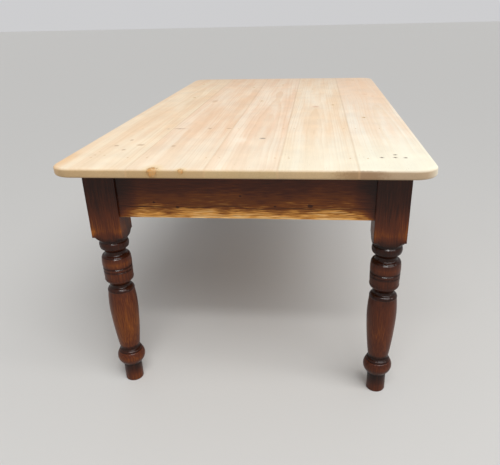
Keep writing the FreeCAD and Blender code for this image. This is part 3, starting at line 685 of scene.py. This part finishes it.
# Each rail's quarter turns from the near end, and its step along the log
RAILS = {
    "end_rail_near": (0, 0), "side_rail_right": (1, 2),
    "end_rail_far": (2, 1), "side_rail_left": (3, 3),
}
for node, (quarters, step) in RAILS.items():
    low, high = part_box(node)
    at_end = node.startswith("end")
    shoulder = (leg_x if at_end else leg_y) - leg_half
    rail = build_rail(f"jointed_{node}", shoulder, at_end, quarters)
    outer_face = ((0, low.y), (high.x, 0), (0, high.y), (low.x, 0))[quarters]
    rail.location = (*outer_face, low.z)
    rail.rotation_euler = (0, 0, quarters * math.pi / 2)
    if not at_end:
        cut_sockets(rail)
    rail.data.materials.append(end_rail_finish if at_end else side_rail_finish)
    rail.data.materials.append(inner_finish)
    finish_rail(rail, shoulder, at_end, step)
    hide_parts(node)

# Corner braces and cross bearers: plain sawn pine inside the frame, never
# finished, and darkened by age. Braces are screwed to the rails behind each leg,
# and the bearers are dovetailed into the side rails to carry the boards.


def refinish(node, material):
    """A CAD piece whose shape is right takes its real material."""
    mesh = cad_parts[node].data
    mesh.materials.clear()
    mesh.materials.append(material)


ALONG_X = (0, -math.pi / 2, 0)
bearer_finish = bare_wood("aged_sawn_bearer_pine", (-640, 40), **AGED_PINE, turn=ALONG_X)
for node in ("cross_bearer_near", "cross_bearer_far"):
    refinish(node, bearer_finish)
for corner, quarters in LEG_QUARTERS.items():
    # A brace's grain runs along it, across the corner, with the pith below it
    across = math.radians(45 if quarters % 2 == 0 else -45)
    pith = (765 if "right" in corner else -705, -590)
    brace_finish = bare_wood(f"aged_sawn_brace_pine_{corner}", pith, "#B38A5C", "#7A522E",
                             turn=(math.pi / 2, across, 0))
    refinish(f"corner_brace_{corner}", brace_finish)

# Screws and nails: steel gone dull brown-grey. The screws' heads sit down in
# the braces, and the nails' heads lie under the stopping.


def old_steel(name, colour, rust):
    """Steel with a dry brown bloom: metal where it is rubbed, dull where it rusts.

    Rust's own grit is too fine to show, and is drawn as patches of about 1 mm.
    """
    material, add = new_material(name)
    spot = add("TexCoord").node.outputs["Object"]
    bloom = add("TexNoise", {"Vector": spot, "Scale": 900, "Detail": 4})
    rusted = add("MapRange", {"Value": bloom, 1: 0.48, 2: 0.66}, **SOFTLY)
    shade = add("Mix", {0: rusted, "A": linear(colour), "B": linear(rust)}, data_type="RGBA")
    rough = add("MapRange", {"Value": bloom, 3: 0.35, 4: 0.7})
    metal = add("MapRange", {"Value": rusted, 3: 1, 4: 0.1})
    bump = add("Bump", {"Strength": 0.4, "Distance": 0.1 * MM, "Height": bloom})
    shader = add("BsdfPrincipled", {
        "Base Color": shade, "Metallic": metal, "Roughness": rough, "Normal": bump,
    })
    add("OutputMaterial", {"Surface": shader})
    return material


refinish("brace_screws", old_steel("dull_screw_steel", "#8D8780", "#5B3A24"))
refinish("top_nails", old_steel("dull_nail_iron", "#6E6963", "#4A2C1B"))

# Top boards: five flat-sawn pine planks, planed and scrubbed pale, with a thin
# wax. Their outside edges are eased, and each joint shows as a fine dark line.

BOARDS = 5
CORNER_RADIUS = 62 * MM
UPPER_EDGE = 6 * MM
EASED_BACK = 12 * MM
LOWER_EDGE = 5 * MM
JOINT_CHAMFER = 0.3 * MM
boards = [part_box(f"top_board_{number}") for number in range(1, BOARDS + 1)]
top_low = Vector((boards[0][0].x, boards[0][0].y, boards[0][0].z))
top_high = Vector((boards[-1][1].x, boards[-1][1].y, boards[0][1].z))


def slab_outline(inset):
    """The rounded outline of the whole top, drawn in by an inset."""
    outline = []
    for sign_x, sign_y, start in ((1, 1, 0), (-1, 1, 90), (-1, -1, 180), (1, -1, 270)):
        x = sign_x * (top_high.x - CORNER_RADIUS)
        y = sign_y * (top_high.y - CORNER_RADIUS)
        for step in range(13):
            angle = math.radians(start + 7.5 * step)
            reach = CORNER_RADIUS - inset
            outline.append((x + reach * math.cos(angle), y + reach * math.sin(angle)))
    return outline


def build_slab(name):
    """The whole top with its eased edges, before it is parted into boards.

    Scrubbing has worn the upper edge further back than down.
    """
    rows = []
    for turn in range(11):
        angle = math.radians(9 * turn)
        inset = EASED_BACK * (1 - math.sin(angle))
        drop = UPPER_EDGE * (1 - math.cos(angle))
        rows.append((inset, top_high.z - drop))
    for turn in range(7):
        angle = math.radians(15 * turn)
        inset = LOWER_EDGE * (1 - math.cos(angle))
        rise = LOWER_EDGE * (1 - math.sin(angle))
        rows.append((inset, top_low.z + rise))
    return build_mesh(name, [
        [Vector((x, y, z)) for x, y in slab_outline(inset)] for inset, z in rows
    ])


def board_keeper(number):
    """What stays of the slab for one board, with its joint edges just chamfered."""
    low, high = boards[number - 1]
    # The two outermost boards keep the whole of the slab's eased edge
    left = low.x - (20 * MM if number == 1 else 0)
    right = high.x + (20 * MM if number == BOARDS else 0)
    reach = 2 * MM
    slope = JOINT_CHAMFER + reach
    outline = [
        (left + slope, top_high.z + reach), (right - slope, top_high.z + reach),
        (right, top_high.z - JOINT_CHAMFER), (right, top_low.z + JOINT_CHAMFER),
        (right - slope, top_low.z - reach), (left + slope, top_low.z - reach),
        (left, top_low.z + JOINT_CHAMFER), (left, top_high.z - JOINT_CHAMFER),
    ]
    return build_mesh("tool", [[Vector((x, y, z)) for x, z in outline] for y in (-1, 1)])


# The holes that the nail punch leaves, where the stopping shows them
HOLE_RADIUS = 2.7 * MM
HOLE_DEPTH = 3.6 * MM
AROUND = [math.radians(22.5 * n) for n in range(16)]
# Nails whose stopping and iron stain have gone dark, over the near right leg and
# the near bearer, as (left, right, near, far, how dark), and how dark the rest are
DARK_NAILS = ((0.34, 0.5, -0.92, -0.74, 1), (-0.31, -0.2, -0.5, -0.4, 0.5))
PALE_NAIL = 0.05


def stopping_places():
    """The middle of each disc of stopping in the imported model."""
    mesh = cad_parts["nail_stopping"].data
    made = bmesh.new()
    made.from_mesh(mesh)
    bmesh.ops.remove_doubles(made, verts=made.verts, dist=0.001 * MM)
    places, seen = [], set()
    for vertex in made.verts:
        if vertex in seen:
            continue
        island, queue = [], [vertex]
        seen.add(vertex)
        while queue:
            here = queue.pop()
            island.append(here.co.copy())
            for edge in here.link_edges:
                other = edge.other_vert(here)
                if other not in seen:
                    seen.add(other)
                    queue.append(other)
        places.append(sum(island, Vector()) / len(island))
    made.free()
    return sorted((round(place.x, 5), round(place.y, 5)) for place in places)


nails = stopping_places()


def ring_round(x, y, z, reaches):
    """Points round a nail's place, each at its own reach."""
    return [
        Vector((x + reach * math.cos(angle), y + reach * math.sin(angle), z))
        for reach, angle in zip(reaches, AROUND)
    ]


def punch_tool(x, y):
    """What the nail punch takes out of the boards."""
    reaches = [HOLE_RADIUS] * len(AROUND)
    heights = (top_high.z + MM, top_high.z - HOLE_DEPTH)
    return build_mesh("tool", [ring_round(x, y, z, reaches) for z in heights])


def darkness(x, y):
    """How dark a nail's stopping has gone, and the iron stain round it."""
    for left, right, near, far, dark in DARK_NAILS:
        if left < x < right and near < y < far:
            return dark
    return PALE_NAIL


def scrubbed_pine(number, pith, knots, marks, early, late, blush, end_grain, painted_near_light):
    """Planed pine, scrubbed and waxed: cream earlywood, tan latewood and a pink blush.

    Iron stains the wood round the nails, and dirt lies along the joints. Marks
    are old spots and scuffs, each as (x, y, half its width, half its length, colour).
    """
    low, high = boards[number - 1]
    material, add = new_material(f"scrubbed_waxed_pine_board_{number}")
    spot = add("TexCoord").node.outputs["Object"]
    metric = add("VectorMath", {0: spot, "Scale": 1 / MM}, operation="SCALE")
    middle = ((low.x + high.x) / 2 / MM, 0, top_high.z / MM)
    centred = add("VectorMath", {0: metric, 1: middle}, operation="SUBTRACT")
    place = add("Mapping", {"Vector": centred, "Rotation": (math.pi / 2, 0, 0)})
    figure = pine_figure(add, place, pith, 6, knots, knot_taper=0.6)
    spread = add("SeparateXYZ", {0: metric}).node.outputs
    normal = add("NewGeometry").node.outputs["Normal"]
    facing = add("SeparateXYZ", {0: normal}).node.outputs

    tone = add("MapRange", {"Value": figure["tone"], 1: 0.36, 2: 0.66}, **SOFTLY)
    late_share = add("Math", {0: figure["latewood"], 1: 0.42}, operation="MULTIPLY")
    layers = [(tone, linear(blush)), (late_share, linear(late))]

    # From so many millimetres along, the near end is painted paler and the far end
    # darker and yellower, as painted light and shade along the top. Resin has left a
    # halo round each knot
    for start, end, most, shade in (
        (-400, -900, painted_near_light, "#FCF8E1"), (380, 919, 0.32, "#CBA07A"),
    ):
        share = add("MapRange", {"Value": spread["Y"], 1: start, 2: end, 4: most}, **SOFTLY)
        layers.append((share, linear(shade)))
    halo = add("Math", {0: figure["halo"], 1: 0.55}, operation="MULTIPLY")
    layers.append((halo, linear("#F3D59E")))

    # End grain drinks more wax and looks darker. Its pores are far too fine to
    # show, and are drawn 2.5 mm wide
    endwise = add("Math", {0: facing["Y"]}, operation="ABSOLUTE")
    end_share = add("MapRange", {"Value": endwise, 1: 0.12, 2: 0.9, 4: 0.88})
    pores = add("TexNoise", {"Vector": metric, "Scale": 1 / 2.5, "Detail": 3})
    pored = add("MapRange", {"Value": pores, 1: 0.3, 2: 0.7, 3: 0.9, 4: 1.08})
    end_tone = add("VectorMath", {0: linear(end_grain)[:3], 1: pored}, operation="MULTIPLY")
    layers.append((end_share, end_tone))

    # Knots: tan heartwood inside a darker rim
    heart = add("Mix", {0: figure["rim"], "A": linear("#C48E4E"), "B": linear("#8E5F2C")},
                data_type="RGBA")
    torn = add("TexNoise", {"Vector": place, "Scale": 1 / 7, "Detail": 3})
    broken = add("MapRange", {"Value": torn, 1: 0.35, 2: 0.6, 3: 0.3, 4: 1}, **SOFTLY)
    knot = add("Math", {0: figure["knot"], 1: broken}, operation="MULTIPLY")
    layers.append((knot, heart))

    # Iron stain round the nails of this board, and its other marks
    smudged = add("TexNoise", {"Vector": metric, "Scale": 1 / 5, "Detail": 3})
    spots = [(x, y, 5.5 * MM, 5.5 * MM, "#6B5442", 0.6 * darkness(x, y))
             for x, y in nails if low.x < x < high.x]
    spots += [(*mark, 0.6) for mark in marks]
    for spot_x, spot_y, half_width, half_length, shade, strength in spots:
        scale = Vector((MM / half_width, MM / half_length, 0))
        shift = Vector((-spot_x / half_width, -spot_y / half_length, 0))
        away = add("VectorMath", {0: metric, 1: scale, 2: shift}, operation="MULTIPLY_ADD")
        away = add("VectorMath", {0: away}, operation="LENGTH")
        away = add("Math", {0: smudged, 1: -1.2, 2: away}, operation="MULTIPLY_ADD")
        share = add("MapRange", {"Value": away, 1: 0.9, 2: -0.2, 4: strength}, **SOFTLY)
        layers.append((share, linear(shade)))

    # Dirt in the joints, a little wider than the joint so that it shows
    joints = [low.x / MM] * (number > 1) + [high.x / MM] * (number < BOARDS)
    for joint in joints:
        away = add("Math", {0: spread["X"], 1: joint}, operation="SUBTRACT")
        away = add("Math", {0: away}, operation="ABSOLUTE")
        dirt = add("MapRange", {"Value": away, 1: 5, 2: 0.4, 4: 0.3}, **SOFTLY)
        layers.append((dirt, linear("#CBA57A")))

    # Short dark flecks along the grain, drawn 3 mm wide where real ones are finer,
    # and faint cloudy marks from use
    flecked = along_grain(add, place, 3.2, 34, 1)
    fleck = add("MapRange", {"Value": flecked, 1: 0.7, 2: 0.8, 4: 0.3}, **SOFTLY)
    layers.append((fleck, linear("#B58F66")))
    colour = linear(early)
    for share, over in layers:
        colour = add("Mix", {0: share, "A": colour, "B": over}, data_type="RGBA")
    clouds = add("TexNoise", {"Vector": metric, "Scale": 1 / 95, "Detail": 5})
    cloud = add("MapRange", {"Value": clouds, 1: 0.35, 2: 0.65, 3: 0.95, 4: 1.02})
    lit = add("MapRange", {"Value": figure["fibres"], 1: 0.3, 2: 0.7, 3: 0.95, 4: 1.02})
    lit = add("Math", {0: cloud, 1: lit}, operation="MULTIPLY")
    colour = add("VectorMath", {0: colour, 1: lit}, operation="MULTIPLY")

    # The underside was never scrubbed
    below = add("MapRange", {"Value": facing["Z"], 1: -0.4, 2: -0.8, 4: 0.8})
    colour = add("Mix", {0: below, "A": colour, "B": linear("#9A7448")}, data_type="RGBA")

    rough = add("MapRange", {"Value": clouds, 1: 0.3, 2: 0.7, 3: 0.52, 4: 0.64})
    relief = add("Math", {0: figure["latewood"], 1: 0.8, 2: figure["fibres"]}, operation="MULTIPLY_ADD")
    bump = add("Bump", {"Strength": 0.35, "Distance": 0.2 * MM, "Height": relief})
    shader = add("BsdfPrincipled", {
        "Base Color": colour, "Roughness": rough, "Normal": bump, "IOR": 1.46,
    })
    add("OutputMaterial", {"Surface": shader})
    return material


# Each board's pith lies above it, and its knots are as (across, along, radius)
SPOT = "#B48C62"
BOARD_FIGURES = [
    dict(
        pith=(20, -70), knots=[(30, 240, 5), (-20, 700, 5)],
        early="#FDE8CA", late="#E8C89C", blush="#F7D8B4", end_grain="#AC8C5E", painted_near_light=0.22,
        marks=[
            (-0.395, -0.671, 0.007, 0.008, SPOT), (-0.356, -0.72, 0.006, 0.008, SPOT),
            (-0.324, -0.662, 0.011, 0.009, SPOT), (-0.372, -0.6, 0.005, 0.008, SPOT),
            (-0.49, -0.83, 0.03, 0.09, "#EDBE86"),
        ],
    ),
    dict(
        pith=(-35, -60), knots=[(-32, -916, 14), (41, -921, 8), (60, 560, 5)],
        early="#FCE5CA", late="#E7C097", blush="#F5D2AF", end_grain="#AC8A58", painted_near_light=0.35,
        marks=[
            (-0.221, -0.675, 0.006, 0.007, SPOT), (-0.159, -0.434, 0.006, 0.008, SPOT),
            (-0.262, -0.434, 0.022, 0.006, SPOT), (-0.094, -0.431, 0.009, 0.005, SPOT),
            (-0.245, 0.13, 0.012, 0.03, "#D9B48C"),
        ],
    ),
    dict(
        pith=(15, -85), knots=[(-50, 130, 5), (10, 640, 5)],
        early="#FEEAD1", late="#E8C49D", blush="#F8D7B7", end_grain="#AE9160", painted_near_light=0.3,
        marks=[(0.032, -0.577, 0.009, 0.007, "#26180D"), (-0.035, -0.599, 0.02, 0.03, "#FFF0DA")],
    ),
    dict(
        pith=(-10, -55), knots=[(60, 20, 5), (-25, 480, 4)],
        early="#FFEED5", late="#EBCBA3", blush="#FADEBC", end_grain="#AE8E60", painted_near_light=0.55,
        marks=[(0.19, -0.02, 0.012, 0.016, "#D9A886"), (0.305, -0.919, 0.06, 0.004, "#7E5A34")],
    ),
    dict(
        pith=(30, -75), knots=[(-35, -250, 5), (-10, 800, 5)],
        early="#FFF3DF", late="#F0D3AC", blush="#FCE5CA", end_grain="#9E7F5C", painted_near_light=0.85,
        marks=[
            (0.41, 0.3, 0.012, 0.016, "#D8B48C"), (0.44, 0.24, 0.006, 0.016, "#D8B48C"),
            (0.4, 0.5, 0.13, 0.55, "#F9D2AE"), (0.305, -0.919, 0.06, 0.004, "#7E5A34"),
        ],
    ),
]
for number, figure in enumerate(BOARD_FIGURES, 1):
    board = build_slab(f"scrubbed_board_{number}")
    combine(board, [board_keeper(number)], "INTERSECT")
    low, high = boards[number - 1]
    punches = [punch_tool(x, y) for x, y in nails if low.x < x < high.x]
    combine(board, punches, "DIFFERENCE")
    smooth(board, 40)
    board.data.materials.append(scrubbed_pine(number, **figure))
    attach(board, "root")
    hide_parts(f"top_board_{number}")

# Dowels: plain beech pegs across the boards' joints, hidden once the top is up.
# They are turned, left unfinished, and a little redder than the pine.

beech = bare_wood("turned_beech_dowel", (-700, 30), "#C9A175", "#A87C50", turn=ALONG_X)
refinish("edge_dowels", beech)

# Stopping: dark wax and putty pressed into each nail hole, shrunk a little below
# the boards, with an uneven edge. It is dull and grainy, and near the wood's
# colour where no iron has darkened it.

STOPPING_RADIUS = 2.6 * MM
STOPPING_DEPTH = 2.4 * MM


def dished_plug(index, x, y):
    """One nail's stopping, whose top sinks from an uneven edge to its middle."""
    sunk = (0.5 + 0.25 * wavering((x, y, 0), 0.03, 3)) * MM
    edge = [
        STOPPING_RADIUS * (1 - 0.06 * abs(wavering((angle, index, 0), 0.8, 5))) for angle in AROUND
    ]
    rows = [ring_round(x, y, top_high.z - STOPPING_DEPTH, [STOPPING_RADIUS] * len(AROUND))]
    for share, drop in ((1, 0.15 * MM), (0.6, 0.8 * sunk), (0.25, sunk)):
        rows.append(ring_round(x, y, top_high.z - drop, [share * reach for reach in edge]))
    return rows


plugs = [dished_plug(index, x, y) for index, (x, y) in enumerate(nails)]
stopping = build_mesh("stopping_in_nail_holes", *plugs)
smooth(stopping, 40)
store(stopping, "darkness", "FLOAT", lambda at: darkness(at.x, at.y))
material, add = new_material("wax_and_putty_stopping")
spot = add("TexCoord").node.outputs["Object"]
# The filler's own grains are too fine to show, and are drawn 0.7 mm wide
grains = add("TexNoise", {"Vector": spot, "Scale": 1400, "Detail": 4})
dark = add("Mix", {0: grains, "A": linear("#2A1A12"), "B": linear("#5A3E2C")}, data_type="RGBA")
gone_dark = add("Attribute", attribute_name="darkness").node.outputs["Fac"]
shade = add("Mix", {0: gone_dark, "A": linear("#E2C193"), "B": dark}, data_type="RGBA")
bump = add("Bump", {"Strength": 0.5, "Distance": 0.15 * MM, "Height": grains})
rough = add("MapRange", {"Value": grains, 3: 0.45, 4: 0.7})
shader = add("BsdfPrincipled", {
    "Base Color": shade, "Roughness": rough, "Normal": bump, "IOR": 1.45,
})
add("OutputMaterial", {"Surface": shader})
stopping.data.materials.append(material)
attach(stopping, "root")
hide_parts("nail_stopping")

# Studio: a plain pale floor that runs to the horizon under a pale sky, a broad
# soft sun, a wide lamp in front that draws the lights on the beads, and a small
# one for their right sides

floor = build_box((-40, -40, -0.05), (40, 40, 0), "studio_floor")
material, add = new_material("pale_floor")
shader = add("BsdfPrincipled", {"Base Color": linear("#D0CFCC"), "Roughness": 0.75})
add("OutputMaterial", {"Surface": shader})
floor.data.materials.append(material)

# The sky shows brighter to the eye and in gloss than it lights the table
world = bpy.data.worlds.new("studio")
world.use_nodes = True
world.node_tree.nodes.clear()
add = partial(add_node, world.node_tree)
rays = add("LightPath").node.outputs
seen = rays["Is Camera Ray"]
for kind in ("Glossy", "Transmission"):
    seen = add("Math", {0: seen, 1: rays[f"Is {kind} Ray"]}, operation="ADD")
strength = add("MapRange", {"Value": seen, 3: 0.4, 4: 0.68})
sky = add("Background", {"Color": linear("#F4F4F6"), "Strength": strength})
add("OutputWorld", {"Surface": sky})
bpy.context.scene.world = world


def add_lamp(name, kind, place, target, **settings):
    """A lamp that faces a point."""
    lamp = bpy.data.lights.new(name, kind)
    for setting, value in settings.items():
        setattr(lamp, setting, value)
    holder = bpy.data.objects.new(name, lamp)
    bpy.context.scene.collection.objects.link(holder)
    holder.location = place
    aim = Vector(target) - Vector(place)
    holder.rotation_euler = aim.to_track_quat("-Z", "Y").to_euler()


add_lamp("overhead_light", "SUN", (1.5, -1.9, 3.1), (0, 0, 0), energy=1.87, angle=math.radians(45))
add_lamp("front_lamp", "AREA", (0.1, -2.8, 3.2), (0, -0.8, 0.4),
         shape="RECTANGLE", size=1.7, size_y=0.35, energy=31)
add_lamp("side_lamp", "AREA", (2.3, -1.3, 1.3), (0.4, -0.8, 0.4), shape="SQUARE", size=0.4, energy=5)

# Camera: at the photograph's viewing angle, found from the top's edges, the leg
# blocks and the feet, and framed at 500 by 465 pixels

PLACE = (0.1905, -2.1298, 1.1147)
YAW, PITCH, ROLL = -0.1063, 0.4349, -0.0245
FOCAL_PIXELS = 512.74
IMAGE_WIDTH, IMAGE_HEIGHT = 500, 465
OPTICAL_CENTRE = (263.12, 248.45)
SENSOR_WIDTH = 36
forward = Vector((math.sin(YAW) * math.cos(PITCH), math.cos(YAW) * math.cos(PITCH), -math.sin(PITCH)))
level = Vector((math.cos(YAW), -math.sin(YAW), 0))
upward = level.cross(forward)
right = math.cos(ROLL) * level + math.sin(ROLL) * upward
above = -math.sin(ROLL) * level + math.cos(ROLL) * upward
camera = bpy.data.objects.new("photo_camera", bpy.data.cameras.new("photo_camera"))
bpy.context.scene.collection.objects.link(camera)
axes = Matrix((right, above, -forward)).transposed()
camera.matrix_world = Matrix.Translation(PLACE) @ axes.to_4x4()
camera.data.sensor_width = SENSOR_WIDTH
camera.data.lens = SENSOR_WIDTH * FOCAL_PIXELS / IMAGE_WIDTH
camera.data.shift_x = (IMAGE_WIDTH / 2 - OPTICAL_CENTRE[0]) / IMAGE_WIDTH
camera.data.shift_y = (OPTICAL_CENTRE[1] - IMAGE_HEIGHT / 2) / IMAGE_WIDTH
camera.data.clip_end = 200
bpy.context.scene.camera = camera
bpy.context.scene.view_settings.view_transform = "Standard"
